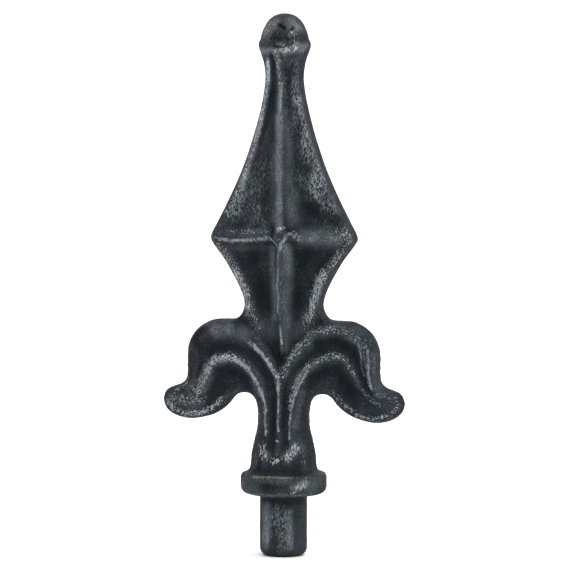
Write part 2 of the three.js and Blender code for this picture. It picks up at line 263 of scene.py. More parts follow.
def blade_sheet():
    """The blade's face as rows of points x, z, reach, from the middle rib out to the edge."""
    heights = np.arange(57.0, 165.01, 0.4)
    blade_edge = [p for p in OUTLINE if p[1] >= 83.6]
    root_edge = [(3.5, 57), (6.5, 64), (11, 70), (15.5, 75), (18, 78), (15.9, 79.6), (14.2, 81.3)]
    width = size_at([(z, x) for x, z in root_edge + blade_edge], heights)
    share = np.clip(1 - np.abs(heights - CROSS) / CROSS_RIB_HALF, 0, 1)

    def lifted(reach, x):
        crest = CROSS_RIB_REACH + (CROSS_RIB_END - CROSS_RIB_REACH) * x / width
        return np.maximum(reach, reach + (crest - reach) * share)

    floor = size_at(FLOOR_REACH, heights)
    rib = size_at(RIB_REACH, heights)
    edge = size_at(EDGE_REACH, heights)
    rib_half = np.minimum(size_at(RIB_HALF, heights), 0.45 * width)
    rim_foot = np.maximum(width - size_at(RIM_FOOT, heights), rib_half + 0.15 * width)
    rim_crest = np.maximum(width - size_at(RIM_INSET, heights), rim_foot + 0.1 * width)
    rim = size_at(RIM_REACH, heights)
    columns = []

    def stretch(x0, h0, x1, h1, count, shape, lift=lifted):
        for q in np.linspace(0, 1, count, endpoint=False):
            x = x0 + (x1 - x0) * q
            columns.append((x, heights, lift(h0 + (h1 - h0) * shape(q), x)))

    stretch(0 * width - 0.5, rib, 0 * width, rib, 1, lambda q: q)
    stretch(0 * width, rib, rib_half, floor, 12, lambda q: 1 - (1 - q) ** 1.25)
    stretch(rib_half, floor, rim_foot, floor, 8, lambda q: q)
    stretch(rim_foot, floor, rim_crest, rim, 10, lambda q: q ** 1.5)
    rim = lifted(rim, rim_crest)
    stretch(rim_crest, rim, width, edge, 8, lambda q: 1 - math.sqrt(1 - q * q), lambda reach, x: reach)
    columns.append((width, heights, edge))
    columns.append((width + 0.6, heights, edge))
    return np.array(columns).transpose(2, 0, 1)


def sheet_tree(sheet):
    rows, count = sheet.shape[:2]
    index = np.arange(rows * count).reshape(rows, count)
    quads = np.stack([index[:-1, :-1], index[:-1, 1:], index[1:, 1:], index[1:, :-1]], axis=-1).reshape(-1, 4)
    return BVHTree.FromPolygons(sheet.reshape(-1, 3).tolist(), quads.tolist())


def reach_map(across, up):
    """The larger reach of the arm's and the blade's sheets over each point of the map, or 0 off both."""
    reach = np.zeros(across.shape)
    down = Vector((0, 0, -1))
    flat_x, flat_z = across.ravel(), up.ravel()
    values = reach.ravel()
    for sheet in (arm_sheet(), blade_sheet()):
        tree = sheet_tree(sheet)
        low = sheet.reshape(-1, 3).min(axis=0)
        high = sheet.reshape(-1, 3).max(axis=0)
        near = (flat_x >= low[0]) & (flat_x <= high[0]) & (flat_z >= low[1]) & (flat_z <= high[1])
        for i in np.nonzero(near)[0]:
            hit = tree.ray_cast((float(flat_x[i]), float(flat_z[i]), 50.0), down)
            if hit[0] is not None and hit[0].z > values[i]:
                values[i] = hit[0].z
    return values.reshape(across.shape)


def blur(field, width):
    """A soft average over the map, with the spike's other half mirrored in at the axis."""
    reach = max(1, int(3 * width / MAP_STEP))
    steps = np.arange(-reach, reach + 1) * MAP_STEP
    weights = np.exp(-0.5 * (steps / width) ** 2)
    weights /= weights.sum()
    mirrored = np.concatenate([field[reach:0:-1], field, np.repeat(field[-1:], reach, axis=0)])
    soft = sum(w * mirrored[i:i + len(field)] for i, w in enumerate(weights))
    padded = np.pad(soft, ((0, 0), (reach, reach)), mode="edge")
    return sum(w * padded[:, i:i + field.shape[1]] for i, w in enumerate(weights))


def spread_out(field, filled, steps):
    """Fills the empty points around the filled ones from their neighbours, so that a blur keeps its edges."""
    field, filled = field.copy(), filled.copy()
    for _ in range(steps):
        total = np.zeros_like(field)
        count = np.zeros_like(field)
        for axis in (0, 1):
            for shift in (-1, 1):
                total += np.roll(field * filled, shift, axis)
                count += np.roll(filled, shift, axis)
        new = ~filled & (count > 0)
        field[new] = total[new] / count[new]
        filled |= new
    return field


map_x = np.arange(0, 43.01, MAP_STEP)
map_z = np.arange(20, 170.01, MAP_STEP)
across, up = np.meshgrid(map_x, map_z, indexing="ij")
outline = through(OUTLINE, 6)
outline_polygon = np.vstack([outline, [(-5, 166.0), (-5, 27.2)]])
outline_gap = distance_to_line(across, up, outline)
outline_gap *= np.where(inside_polygon(across, up, outline_polygon), 1, -1)
raw_reach = reach_map(across, up)
crossing_gap = np.hypot(across, up - BOSS_HEIGHT)
boss = BOSS_REACH - 1.9 * np.clip(crossing_gap / BOSS_RADIUS, 0, 1) ** 2.2
raw_reach = np.where(crossing_gap < BOSS_RADIUS, np.maximum(raw_reach, boss), raw_reach)
raw_reach = spread_out(raw_reach, raw_reach > 0, 14)
relief = blur(raw_reach, RELIEF_BLUR)
slope_x, slope_z = np.gradient(relief, MAP_STEP)
slope = np.sqrt(1 + slope_x ** 2 + slope_z ** 2)
standing = relief - blur(relief, 1.5)


def looked_up(field, a, b):
    """A map's value at any place, given in map steps, from the four map points around it."""
    a = np.clip(a, 0, field.shape[0] - 1.001)
    b = np.clip(b, 0, field.shape[1] - 1.001)
    i, j = a.astype(int), b.astype(int)
    s, t = a - i, b - j
    low = field[i, j] * (1 - t) + field[i, j + 1] * t
    high = field[i + 1, j] * (1 - t) + field[i + 1, j + 1] * t
    return low * (1 - s) + high * s


def on_map(field, x, z):
    return looked_up(field, np.abs(x) / MAP_STEP, (z - map_z[0]) / MAP_STEP)


# The turned parts, as a map of distances inside a profile of radius and height

FOOT_PROFILE = [
    (0, 0), (SPIGOT_RADIUS - 2.4, 0), (SPIGOT_RADIUS - 1.3, 0.35), (SPIGOT_RADIUS - 0.5, 1.1),
    (SPIGOT_RADIUS - 0.12, 1.9), (SPIGOT_RADIUS, 2.8),
    (SPIGOT_RADIUS, SPIGOT_LENGTH - ROOT_FILLET), (SPIGOT_RADIUS + 0.35, SPIGOT_LENGTH - 0.35),
    (SPIGOT_RADIUS + ROOT_FILLET, SPIGOT_LENGTH), (COLLAR_RADIUS - 2.2, SPIGOT_LENGTH),
    (COLLAR_RADIUS - 1.1, SPIGOT_LENGTH + 0.4), (COLLAR_RADIUS - 0.3, SPIGOT_LENGTH + 1.3),
    (COLLAR_RADIUS, SPIGOT_LENGTH + 2.4),
    (COLLAR_RADIUS, COLLAR_TOP - COLLAR_ROUND), (COLLAR_RADIUS - 0.45, COLLAR_TOP - 0.45),
    (COLLAR_RADIUS - COLLAR_ROUND, COLLAR_TOP), (11.0, COLLAR_TOP + 0.2), (0, COLLAR_TOP + 0.2),
]
TIP_PROFILE = [
    (0, NECK - 3), (5.2, NECK - 3), (5.9, NECK), (6.45, NECK + 2.5), (7.05, NECK + 5.2), (7.8, RING - 3.4),
    (8.5, RING - 1.6), (8.75, RING - 0.4), (8.65, RING + 0.7), (8.1, RING + 1.6), (7.85, RING + 3),
    (7.2, RING + 4.8), (6.4, RING + 6.5), (5.2, RING + 8.2), (3.7, RING + 9.4), (1.9, RING + 10.1), (0, TOP),
]
turn_r = np.arange(0, 18.01, MAP_STEP)
turn_z = np.arange(-3, 185.01, MAP_STEP)
turn_radius, turn_height = np.meshgrid(turn_r, turn_z, indexing="ij")


def turned_map(profile):
    """Signed distances of a turned part, whose profile starts and ends on the axis."""
    line = np.array(profile, float)
    gap = distance_to_line(turn_radius, turn_height, line)
    polygon = np.vstack([line, [(-5, line[-1][1]), (-5, line[0][1])]])
    return gap * np.where(inside_polygon(turn_radius, turn_height, polygon), 1, -1)


foot_map = turned_map(FOOT_PROFILE)
tip_map = turned_map(TIP_PROFILE)


def on_turned(field, radius, z):
    return looked_up(field, radius / MAP_STEP, (z - turn_z[0]) / MAP_STEP)


# Unevenness of the cast surface

dice = np.random.default_rng(SEED)
NOISE_SIZE = 24
noise_lattice = dice.uniform(-1, 1, (NOISE_SIZE, NOISE_SIZE, NOISE_SIZE)).astype(np.float32)


def noise(x, y, z, size):
    """Smooth noise between -1 and 1 with lumps of about this size."""
    fx, fy, fz = x / size + 7.3, y / size + 3.1, z / size + 5.7
    ix, iy, iz = np.floor(fx).astype(int), np.floor(fy).astype(int), np.floor(fz).astype(int)
    tx, ty, tz = fx - ix, fy - iy, fz - iz
    tx, ty, tz = (t * t * (3 - 2 * t) for t in (tx, ty, tz))
    value = 0
    for cx in (0, 1):
        for cy in (0, 1):
            for cz in (0, 1):
                corner = noise_lattice[(ix + cx) % NOISE_SIZE, (iy + cy) % NOISE_SIZE, (iz + cz) % NOISE_SIZE]
                weight = (tx if cx else 1 - tx) * (ty if cy else 1 - ty) * (tz if cz else 1 - tz)
                value = value + corner * weight
    return value


# Dents in the front, as lines in x and z: start, end, half-width and depth. They are the pits and nicks of
# the ball, an oval mark under it, and small round marks on the collar.
DENTS = [
    (-0.4, 177.5, 1.1, 176.5, 0.6, 0.55), (3.6, 176.1, 4.0, 176.6, 0.45, 0.4),
    (-2.3, 175.2, -2.3, 173.8, 0.35, 0.3), (-1.4, 175.2, -1.4, 173.8, 0.35, 0.3),
    (-0.4, 175.1, -0.4, 173.8, 0.35, 0.3), (-3.1, 173.2, 0.3, 173.3, 0.5, 0.2),
    (2.0, 173.5, 2.6, 172.5, 0.5, 0.35), (-2.1, 171.5, -1.0, 170.4, 0.32, 0.3),
    (-1.0, 170.4, 1.2, 170.3, 0.32, 0.3), (1.2, 170.3, 2.4, 171.1, 0.32, 0.3),
    (-1.6, 172.3, 1.6, 172.3, 0.3, 0.15), (6.4, 174.2, 7.2, 172.6, 0.8, 0.25),
    (-1.6, 24.4, -0.9, 24.4, 0.5, 0.3), (0.7, 24.5, 1.5, 24.3, 0.5, 0.3),
]

# Low swellings of the front: middle in x and z, half-width, half-height and rise
SWELLINGS = [(4.9, 113.6, 2.8, 4.2, 1.0), (-1.0, 33.5, 3.4, 2.6, 0.35)]


def front_share(y):
    """1 over the front, 0 over the back, with a short step between them inside the metal."""
    return np.clip(0.5 - y / 1.5, 0, 1)


def depth_inside(x, y, z):
    """How far a point is inside the spike, negative outside."""
    front = front_share(y)
    face = (on_map(relief, x, z) - np.abs(y)) / on_map(slope, x, z)
    for sx, sz, wide, high, rise in SWELLINGS:
        face = face + rise * front * np.exp(-((x - sx) / wide) ** 2 - ((z - sz) / high) ** 2)
    body = rounded_min(face, on_map(outline_gap, x, z), EDGE_ROUND)
    body = np.where((z < 27.0) | (z > 166.0), -9.0, body)
    radius = np.hypot(x, y)
    foot = on_turned(foot_map, radius, z)
    tip = on_turned(tip_map, radius, z)
    whole = soft_max(body, foot, JOIN_ROUND)
    whole = soft_max(whole, tip, JOIN_ROUND)
    uneven = 0.08 * noise(x, y, z, 7.0) + 0.045 * noise(x, y, z, 2.2)
    flat_end = np.clip(z / 2.0, 0, 1)
    whole = whole + (uneven - 0.02) * flat_end
    for ax, az, bx, bz, half, deep in DENTS:
        away = distance_to_line(x, z, [(ax, az), (bx, bz)])
        whole = whole - deep * front * np.exp(-(away / half) ** 2)
    return whole


# The fine mesh

def grid_line(low, high):
    """Places a cell apart, set a little off the axis so that no row of points lies on it."""
    return np.arange(math.floor(low / CELL) - 2, math.ceil(high / CELL) + 3) * CELL + 0.13 * CELL


def fine_surface():
    """Points and quads of the surface where depth_inside is nought, one point for each cell it crosses."""
    xs, ys, zs = (grid_line(low, high) for low, high in zip(BLOCK_LOW, BLOCK_HIGH))
    values = np.empty((len(xs), len(ys), len(zs)), np.float32)
    for i, x in enumerate(xs):
        py, pz = np.meshgrid(ys, zs, indexing="ij")
        values[i] = depth_inside(np.full(py.shape, x), py, pz)
    solid = values > 0
    corners = [(a, b, c) for a in (0, 1) for b in (0, 1) for c in (0, 1)]
    shape = np.array(values.shape) - 1
    count = np.zeros(shape, np.int8)
    for a, b, c in corners:
        count += solid[a:a + shape[0], b:b + shape[1], c:c + shape[2]]
    cells = np.argwhere((count > 0) & (count < 8))
    number = np.full(shape, -1, np.int64)
    number[tuple(cells.T)] = np.arange(len(cells))
    total = np.zeros((len(cells), 3))
    hits = np.zeros(len(cells))
    for first in corners:
        for axis in range(3):
            if first[axis]:
                continue
            second = list(first)
            second[axis] = 1
            a = values[tuple((cells + first).T)]
            b = values[tuple((cells + second).T)]
            cut = (a > 0) != (b > 0)
            t = np.where(cut, a / np.where(a == b, 1, a - b), 0)
            spot = np.tile(np.array(first, float), (len(cells), 1))
            spot[:, axis] += t
            total += spot * cut[:, None]
            hits += cut
    points = (cells + total / hits[:, None]) * CELL + [xs[0], ys[0], zs[0]]
    quads = []
    for axis in range(3):
        low = [slice(1, -1)] * 3
        low[axis] = slice(0, -1)
        high = list(low)
        high[axis] = slice(1, None)
        a, b = solid[tuple(low)], solid[tuple(high)]
        offset = np.array([1, 1, 1])
        offset[axis] = 0
        u, v = (axis + 1) % 3, (axis + 2) % 3
        for going_out in (True, False):
            at = np.argwhere(a & ~b if going_out else b & ~a) + offset
            ring = []
            for du, dv in ((0, 0), (1, 0), (1, 1), (0, 1)) if going_out else ((0, 0), (0, 1), (1, 1), (1, 0)):
                cell = at.copy()
                cell[:, u] += du - 1
                cell[:, v] += dv - 1
                ring.append(number[tuple(cell.T)])
            quads.append(np.stack(ring, axis=1))
    return points, np.vstack(quads)


def settled(points, rounds):
    """The points moved onto the surface along its slope."""
    step = 0.06
    for _ in range(rounds):
        x, y, z = points.T
        here = depth_inside(x, y, z)
        gx = (depth_inside(x + step, y, z) - depth_inside(x - step, y, z)) / (2 * step)
        gy = (depth_inside(x, y + step, z) - depth_inside(x, y - step, z)) / (2 * step)
        gz = (depth_inside(x, y, z + step) - depth_inside(x, y, z - step)) / (2 * step)
        size = np.maximum(gx ** 2 + gy ** 2 + gz ** 2, 0.15)
        move = np.clip(here / size, -0.3 * CELL, 0.3 * CELL)
        points = points - np.stack([gx, gy, gz], axis=1) * move[:, None]
    return points


points, quads = fine_surface()
points = np.clip(settled(points, 2), INNER_LOW, INNER_HIGH)

mesh = bpy.data.meshes.new("spike_casting")
mesh.from_pydata((points * MM).tolist(), [], quads.tolist())
mesh.validate()
mesh.shade_smooth()
spike = bpy.data.objects.new("spike_casting", mesh)
bpy.context.scene.collection.objects.link(spike)
print("spike mesh:", len(points), "points,", 2 * len(quads), "triangles")


# Wear, painted sheen and painted shade, as shares for each point of the mesh, and how strong it is on the
# back

BACK_SHARE = 0.6

# Brushed silver, as strokes along the front: share, half-width, and the line's x and z
SILVER = [
    # The blade's left rim, its rib, its right panel and rim, and its left panel
    (0.6, 1, [(-4.6, 159.5), (-5.4, 154), (-7.2, 145)]),
    (0.48, 1, [(-7.2, 145), (-10.3, 134.5), (-13.7, 124)]),
    (0.42, 1.6, [(-13.7, 124), (-18, 115)]),
    (0.3, 0.6, [(-0.1, 157), (-0.4, 149)]),
    (0.16, 1.3, [(-0.7, 149), (-0.9, 135), (-1, 112)]),
    (0.2, 0.9, [(4.8, 162), (5.2, 152)]),
    (0.2, 2, [(5.6, 152), (7, 145)]),
    (0.17, 3.4, [(6.8, 145), (9.4, 134)]),
    (0.17, 4.8, [(11, 133), (14.4, 122)]),
    (0.24, 2.8, [(17.6, 122), (21.8, 112)]),
    (0.34, 1, [(9.8, 143), (13.2, 131), (19.2, 118.6), (24, 108.6)]),
    (0.32, 1, [(24.4, 105), (20.2, 98.4), (16.2, 91.6), (14.2, 87)]),
    (0.14, 3.6, [(-15, 119), (-8, 114)]),
    # The rib across: its left crest, the knob, its right half and the two corners
    (0.45, 0.7, [(-21.5, 105.9), (-17, 105.5)]),
    (0.4, 0.8, [(-17, 105.5), (-12, 105.7), (-4, 106.5)]),
    (0.34, 0.8, [(-19, 108.4), (-5, 108.8)]),
    (0.3, 2.2, [(-0.4, 108), (0.6, 107.4)]),
    (0.7, 0.6, [(-0.8, 110), (0.8, 110.2)]),
    (0.4, 1.3, [(4, 108), (6, 106.8)]),
    (0.4, 2.4, [(19, 109), (23.5, 106.4)]),
    (0.35, 1.4, [(-23, 107), (-20.5, 102.4)]),
    # The lower rib, the lower rims and the waist
    (0.42, 1.6, [(-20.2, 102), (-15.8, 95.6)]),
    (0.6, 1.5, [(-15.8, 95.6), (-12.6, 89), (-11.2, 83)]),
    (0.42, 1.5, [(20.4, 102.6), (16.4, 97)]),
    (0.7, 1.4, [(14.6, 95.4), (11.6, 89), (9.8, 82)]),
    (0.28, 2.2, [(-10.5, 81), (-8, 77)]),
    (0.34, 2.4, [(9.4, 80), (9.4, 76)]),
    # The left arm: the rim's crest, the lower ridge, the lip and the tip
    (0.45, 0.9, [(-11.6, 72.2), (-8, 69.6)]),
    (0.6, 0.8, [(-8, 69.6), (-5, 66.6), (-3, 63.6), (-0.7, 59.6)]),
    (0.55, 1.3, [(-28.6, 54), (-27, 58), (-25.4, 62)]),
    (0.75, 1.4, [(-25.4, 62), (-24.2, 64.4), (-21.6, 66.1), (-17.5, 66.5), (-14.1, 65.1), (-11.4, 62.5)]),
    (0.85, 0.8, [(-14.1, 65.1), (-11.4, 62.5), (-8.4, 58.2), (-6, 53.2)]),
    (0.45, 0.5, [(-6, 53.2), (-5.1, 47.3), (-4.8, 41.6)]),
    (0.6, 0.9, [(-39.6, 51), (-37, 48.4), (-33, 47.2), (-28, 47.4), (-24, 49.2), (-20.8, 52.2)]),
    (0.36, 2, [(-37, 52.4), (-32, 51.6), (-27.5, 52.6)]),
    (0.4, 0.6, [(-31.6, 66), (-31.2, 60), (-33, 57), (-36, 55)]),
    # The right arm: the rim's crest, the streaks inside its bend, the lower ridge, the lip and the tip
    (0.48, 1.6, [(0.6, 61.4), (3.1, 66.3), (6.5, 71.6)]),
    (0.32, 1.8, [(6.5, 71.6), (11.6, 75.2), (18.4, 76.9), (24.4, 75), (27.6, 71), (29.4, 65)]),
    (0.36, 0.9, [(29.4, 65), (29.8, 59), (32, 55.2)]),
    (0.26, 0.9, [(32, 55.2), (37, 53.4)]),
    (0.6, 0.9, [(3.6, 50), (3.8, 54), (5.7, 59.5), (9, 63.8)]),
    (0.42, 1.2, [(9, 63.8), (13.3, 66.5), (18.3, 68)]),
    (0.54, 1.1, [(16.2, 67.6), (19.8, 67.6)]),
    (0.34, 0.9, [(18.3, 68), (21.8, 66.7), (24.1, 62.6), (26.2, 58), (28.9, 54.4), (33, 51.6)]),
    (0.5, 0.7, [(21, 51.4), (26.2, 47.5), (31.4, 46.8), (36.5, 48.2)]),
    (0.36, 0.7, [(36.5, 48.2), (39.9, 51.2), (38.6, 54)]),
    (0.3, 1.2, [(17.5, 55), (20, 52)]),
    # The stem: the crease between the arms, a fleck, the foot's swelling
    (0.5, 1.1, [(-0.8, 61.8), (-0.6, 56)]),
    (0.46, 1.5, [(-5.9, 37.2), (-4.8, 33.8)]),
    (0.44, 1.4, [(-3.2, 33.6), (-0.6, 32.7)]),
    (0.34, 0.9, [(0, 32.8), (2.6, 33.4)]),
    (0.5, 1.2, [(3.2, 33.6), (5.8, 37.4)]),
    # The collar's edge and face, and the spigot's streaks
    (0.3, 1.2, [(7.6, 24.4), (9.6, 25)]),
    (0.5, 0.6, [(5.4, 22.6), (6.4, 22.4)]),
    (0.2, 1.4, [(-4.5, 15.5), (-4.7, 5)]),
    (0.2, 0.9, [(3.6, 15), (3.7, 4)]),
    (0.3, 1, [(3.4, 5.2), (5, 4.6)]),
    # The neck and the ball
    (0.85, 0.8, [(-4.6, 165), (-4.5, 159)]),
    (0.35, 0.8, [(-1.4, 169), (-0.9, 164), (-0.2, 158)]),
    (0.22, 1.2, [(4.2, 164), (4, 157)]),
    (0.24, 3, [(-6, 176), (-4.4, 178)]),
    (0.38, 0.9, [(2.8, 176.2), (3.6, 174.2)]),
    (0.3, 0.8, [(4.4, 174.6), (4.6, 172.4)]),
    (0.5, 0.22, [(-1.9, 175.2), (-1.85, 174)]),
    (0.5, 0.22, [(-0.95, 175.2), (-0.9, 174)]),
    (0.66, 1.1, [(1.4, 169.8), (4.8, 170.2)]),
]

# Smooth grey polish and painted sheen, in the same way. What is above 1 turns a paler grey, a painted
# highlight.
POLISH_AND_SHEEN = [
    (1.15, 0.9, [(-0.2, 158), (-0.6, 147)]),
    (1.85, 1.35, [(-0.7, 147), (-0.7, 133), (-0.8, 120), (-0.7, 110)]),
    (0.6, 1.7, [(1.4, 148), (1.8, 135), (2.4, 122)]),
    (0.8, 2.4, [(3.6, 121), (4.2, 113)]),
    (0.7, 1.1, [(-1.9, 138), (-2.3, 128), (-2.5, 112)]),
    (0.2, 4.5, [(-7, 142), (-11, 124), (-12, 114)]),
    (0.2, 4.5, [(10, 145), (15, 128)]),
    (1.7, 1.1, [(-4.7, 160), (-5.5, 154), (-7.3, 145), (-10.3, 134.5), (-13.7, 124)]),
    (0.3, 1.2, [(18, 124), (23, 111)]),
    (0.45, 1.8, [(-21, 108), (-5, 108)]),
    (1.05, 2.7, [(8, 107.1), (18.5, 106.8)]),
    (0.6, 1.6, [(21.5, 108), (24, 105.6)]),
    (0.35, 1.4, [(-21, 103.4), (-6, 103.4)]),
    (0.9, 0.8, [(0.3, 104.6), (0, 102)]),
    (0.7, 2, [(-20.4, 102), (-16, 95.6), (-12.6, 88), (-11, 82)]),
    (0.45, 1.6, [(19.6, 101), (15.4, 94), (12.2, 87)]),
    (1.2, 1.5, [(1.8, 103.6), (2, 95)]),
    (1, 1.5, [(2, 95), (1.8, 80), (0.9, 70)]),
    (1.15, 1.3, [(-3, 103), (-2.4, 91), (-2, 80)]),
    (0.9, 0.7, [(-0.4, 103), (-0.4, 80)]),
    (0.5, 3, [(-6, 76), (6, 76)]),
    (1.2, 2.4, [(-22, 75.2), (-18, 75.8)]),
    (0.85, 2.4, [(-18, 75.8), (-12, 74)]),
    (0.7, 1.6, [(-27, 56), (-24, 64), (-17.5, 66.5), (-11, 62.4), (-7.6, 55)]),
    (0.45, 3, [(-37, 52), (-30, 50)]),
    (0.8, 0.9, [(-12, 72.6), (-6.4, 68.2), (-3, 63.6)]),
    (0.5, 2, [(4, 67), (11.6, 75), (20, 77), (27.6, 71.5), (29.8, 62), (33, 55.4)]),
    (0.6, 0.9, [(31.4, 68), (31.2, 60), (33, 57.8)]),
    (0.4, 1.6, [(5.6, 59), (13, 66), (21, 66.6), (26, 58)]),
    (0.3, 3, [(30, 50), (38, 51)]),
    (0.35, 1, [(-6.6, 52), (-6.4, 40), (-7.4, 34)]),
    (0.6, 1.2, [(7, 55), (5.9, 50), (5.4, 44)]),
    (0.25, 1.8, [(5.8, 44), (5.8, 40), (6.8, 34)]),
    (0.7, 1.6, [(-6.2, 37), (-4.4, 34)]),
    (0.55, 1.2, [(-12, 26.4), (12, 26.4)]),
    (0.6, 0.8, [(-12, 21.6), (12, 21.6)]),
    (0.6, 2.6, [(-12, 24), (-8, 24)]),
    (1.5, 1.4, [(6.4, 24.2), (9.6, 25.4)]),
    (0.7, 2.4, [(10, 24.6), (13, 24.6)]),
    (1.4, 1.7, [(-4.4, 16.5), (-4.7, 4)]),
    (1.25, 1, [(3.5, 15.5), (3.6, 3)]),
    (0.4, 2.6, [(-3, 3.4), (2, 2.4)]),
    (1.5, 2.6, [(-5.4, 174), (-4.2, 176.8), (-2.6, 178.4)]),
    (1.5, 2.4, [(3.2, 178.6), (5.4, 175.6)]),
    (1.4, 1.4, [(-6.6, 168.8), (0, 168.8), (6.6, 169.6)]),
    (1.6, 1.4, [(5.6, 171.2), (8, 170.6)]),
    (1.2, 0.7, [(-0.9, 171.3), (1, 171.4)]),
    (1.3, 1, [(-1.6, 168.6), (-0.8, 165.6)]),
    (0.9, 0.8, [(-0.8, 165.6), (-0.3, 160)]),
    (1.5, 0.8, [(-4.6, 166), (-4.5, 159)]),
    (0.25, 2, [(4, 166), (4.6, 152)]),
]

# Black that was never rubbed, and painted shade on the ball's top and sides and under the collar, in the same
# way
BLACK_AND_SHADE = [
    (0.3, 0.8, [(-2.9, 173.3), (0.4, 173.1)]),
    (0.3, 1.2, [(1.8, 173.4), (5.4, 172.8)]),
    # Painted shade on the top of the ball
    (0.55, 1.5, [(-3.2, 180.2), (2.2, 180.6)]),
    (0.4, 2.6, [(0.8, 178.6), (1.6, 175)]),
    # Painted shade on the ball's left and right sides
    (0.35, 1.2, [(-7.6, 177), (-8, 172)]),
    (0.6, 1.6, [(6.2, 174.4), (7.2, 172.4)]),
    (0.5, 0.9, [(-6.8, 172.8), (-4.6, 172.2)]),
    (0.6, 0.9, [(-3.4, 168), (-2.7, 165.2)]),
    (0.45, 1.4, [(3.2, 166.6), (3.4, 160)]),
    (0.85, 0.9, [(-2.6, 163.6), (-3.2, 156), (-4.7, 148), (-7.4, 138)]),
    (0.8, 0.8, [(2.6, 162), (2.8, 150)]),
    (0.3, 1, [(2.8, 150), (4.4, 138)]),
    (0.35, 2.6, [(-7.5, 136), (-10, 124)]),
    (0.9, 2.8, [(9, 116.4), (14, 114.4), (18, 113)]),
    (0.3, 0.9, [(4.6, 150), (5.4, 136)]),
    (0.35, 1.3, [(-0.5, 108), (0.4, 107.4)]),
    (0.3, 0.6, [(-3.2, 109.4), (-2.6, 106)]),
    (0.9, 2.4, [(-9.4, 100), (-6.6, 90), (-5.6, 84)]),
    (0.9, 2.2, [(8, 101), (6.4, 90), (5.4, 84)]),
    (0.7, 0.8, [(19.6, 97), (16.2, 91.6), (14.4, 87)]),
    (0.2, 1.6, [(-2.4, 68), (-0.4, 64.6)]),
    (0.9, 1.6, [(-30.4, 72.4), (-27, 76)]),
    (0.6, 1.4, [(-31, 66), (-31, 60)]),
    (0.8, 1.2, [(-29.4, 72.4), (-27.4, 69)]),
    (0.8, 1.2, [(12, 72.4), (19, 72.6), (24, 70.6), (26.4, 64), (28, 58.5)]),
    (0.8, 1.6, [(-20, 62), (-14.5, 61.6), (-11, 56)]),
    (0.8, 1.6, [(10.6, 60.6), (17, 62.4), (20, 60), (23, 56)]),
    (0.7, 0.6, [(-2.2, 58), (-2, 42)]),
    (0.7, 0.6, [(1.2, 58), (1.3, 42)]),
    (0.5, 1.2, [(8.4, 50), (8.2, 38)]),
    # Painted shadow under the collar, on the spigot
    (0.2, 1.2, [(-7.4, 19), (7.4, 19)]),
    (0.7, 1, [(-13.4, 28.8), (0, 29.2), (13.4, 28.8)]),
    (0.6, 1.2, [(-3.4, 24.2), (2.6, 24.2)]),
    (0.4, 1.9, [(-0.6, 15), (0, 3)]),
    (0.2, 1.6, [(6.6, 17), (6.8, 2)]),
    (0.5, 0.6, [(-6.9, 17), (-7, 2)]),
]

# Fine crossing scratches, in the same way
SCRATCHES = [
    (0.7, 3, [(6, 152), (8, 142), (11, 130)]),
    (0.85, 4.6, [(12.6, 127), (17, 117)]),
    (0.7, 2.2, [(-15.6, 121), (-14.4, 114)]),
    (0.3, 5, [(-10, 130), (-10, 115)]),
    (0.62, 2.7, [(0.1, 14.8), (0.2, 5)]),
    (0.8, 1.6, [(3.6, 34), (6, 37)]),
    (0.6, 1.6, [(13, 93), (9.6, 81)]),
    (0.5, 1.4, [(-33, 52), (-26, 60)]),
    (0.5, 1.4, [(5, 57), (10, 64)]),
    (0.6, 2, [(3.6, 164), (3.8, 154)]),
]

# Yellowish stains, in the same way
STAINS = [
    (0.6, 1.5, [(2.6, 24.4), (6.6, 22.6)]),
    (0.7, 0.6, [(-8, 27), (5, 27)]),
    (0.3, 1.4, [(-2, 33.4), (0, 32.6)]),
    (0.4, 1.2, [(1, 175), (2.4, 173.8)]),
    (0.15, 2.5, [(20, 109), (23, 106)]),
    (0.22, 5, [(0, 178), (0, 173)]),
]

# Dark marks of the front, as share, half-width and a line in x and z: the pits, nicks and small ring marks
# of the ball, the neck and the collar
MARKS = [
    (0.95, 0.62, [(-0.5, 177.5), (1.25, 176.3)]),
    (0.9, 0.46, [(3.5, 176), (4, 176.6)]),
    (0.75, 0.34, [(-2.35, 175.2), (-2.3, 173.8)]),
    (0.7, 0.3, [(-1.45, 175.3), (-1.4, 173.8)]),
    (0.75, 0.32, [(-0.45, 175.1), (-0.4, 173.8)]),
    (0.7, 0.55, [(-3.1, 173.2), (0.3, 173.3)]),
    (0.8, 0.5, [(2, 173.5), (2.6, 172.5)]),
    (0.7, 0.26, [(4.1, 173.4), (4.3, 172.4)]),
    (0.7, 0.28, [(5.1, 174.4), (5.2, 172.6)]),
    (0.55, 1.3, [(6.5, 174.2), (7.2, 172.6)]),
    (0.75, 0.32, [(-2.1, 171.5), (-1, 170.4), (1.2, 170.3), (2.4, 171.1)]),
    (0.5, 0.22, [(-1.9, 172.1), (0.1, 172.5), (1.9, 172.2)]),
    (0.7, 0.26, [(4.1, 171.8), (4.3, 171)]),
    (0.7, 0.24, [(5.1, 171.4), (5.3, 170.7)]),
    (0.8, 0.65, [(-3.2, 167.9), (-2.4, 164.9)]),
    (0.7, 0.45, [(0.4, 168.2), (0.8, 165.6)]),
    (0.35, 0.5, [(-2.8, 179.8), (-4.8, 178.1)]),
    (0.45, 0.6, [(4.9, 178.9), (5.9, 178.1)]),
    (0.5, 0.24, [(-2, 25), (-2.1, 23.9)]),
    (0.5, 0.24, [(-0.5, 25), (-0.5, 23.9)]),
    (0.5, 0.24, [(0.7, 25), (0.7, 23.9)]),
    (0.5, 0.24, [(2, 25), (2, 23.9)]),
]
